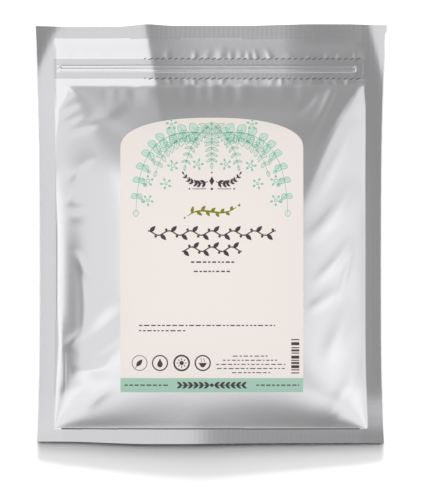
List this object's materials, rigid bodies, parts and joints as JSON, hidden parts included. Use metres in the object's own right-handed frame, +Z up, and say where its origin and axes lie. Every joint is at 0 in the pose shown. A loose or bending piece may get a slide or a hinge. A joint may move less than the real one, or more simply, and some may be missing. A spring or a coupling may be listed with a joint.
{
  "type": "flat foil zip pouch of cut dried root",
  "caption": "Flat pouch of silver foil laminate lying on its back: filled and heat-sealed on all sides, with a press-to-close zip under the top seal and a tall arched label on the front.",
  "frame": {"origin": "on the table under the middle of the pouch, which lies on its back", "axes": "+X across the pouch to the right of its label, +Y along the pouch towards its zip and top seal, +Z up out of the labelled front"},
  "size_m": [0.2539, 0.304, 0.0444],
  "materials": {
    "foil_film": "satin aluminium foil laminate with a clear outer film",
    "zip_plastic": "milky polyethylene",
    "dried_root": "dull cut and dried root",
    "label_paper": "satin coated off-white paper with printed ink"
  },
  "bodies": {
    "root": {"front_film": "foil_film", "back_film": "foil_film", "zip_channel_track": "zip_plastic", "zip_rib_track": "zip_plastic", "dried_root_contents": "dried_root", "front_label": "label_paper"}
  },
  "joints": []
}
